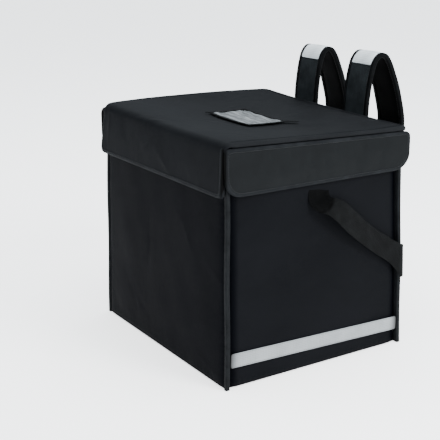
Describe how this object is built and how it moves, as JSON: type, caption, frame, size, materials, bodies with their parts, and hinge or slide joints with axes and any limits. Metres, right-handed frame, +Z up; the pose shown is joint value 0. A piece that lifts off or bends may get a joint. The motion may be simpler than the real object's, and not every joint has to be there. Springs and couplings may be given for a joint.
{
  "type": "insulated delivery backpack",
  "caption": "Boxy padded black cooler backpack with a flap-over lid, bound corners, reflective strips, padded shoulder straps and a webbing carry strap.",
  "frame": {"origin": "middle of the underside of the box, on the floor", "axes": "+Z up; -Y is the front panel, +Y the side worn against the back, with the shoulder straps; X is the width"},
  "size_m": [0.4714, 0.4679, 0.5282],
  "materials": {
    "panel_fabric": "padded woven synthetic with a slight sheen",
    "binding_tape": "folded grosgrain binding tape",
    "strap_fabric": "padded air mesh with bound edges",
    "webbing": "flat woven webbing",
    "reflective_tape": "silver-grey retroreflective tape",
    "black_plastic": "moulded, fine satin",
    "clear_vinyl": "clear flexible sheet, a little wavy"
  },
  "bodies": {
    "root": {"front_panel": "panel_fabric", "back_panel": "panel_fabric", "side_panel_right": "panel_fabric", "side_panel_left": "panel_fabric", "base_panel": "panel_fabric", "lid_panel": "panel_fabric", "lid_flap_front": "panel_fabric", "lid_flap_right": "panel_fabric", "lid_flap_left": "panel_fabric", "corner_binding_front_right": "binding_tape", "corner_binding_front_left": "binding_tape", "corner_binding_back_right": "binding_tape", "corner_binding_back_left": "binding_tape", "lid_flap_front_tape": "binding_tape", "lid_flap_right_tape": "binding_tape", "lid_flap_left_tape": "binding_tape", "card_border": "binding_tape", "shoulder_strap_right": "strap_fabric", "shoulder_strap_left": "strap_fabric", "strap_tab_right": "webbing", "strap_tab_left": "webbing", "strap_webbing_right": "webbing", "strap_webbing_left": "webbing", "carry_strap": "webbing", "side_strip_right": "reflective_tape", "side_strip_left": "reflective_tape", "strap_band_right": "reflective_tape", "strap_band_left": "reflective_tape", "strap_adjuster_right": "black_plastic", "strap_adjuster_left": "black_plastic", "card_window": "clear_vinyl"}
  },
  "joints": []
}
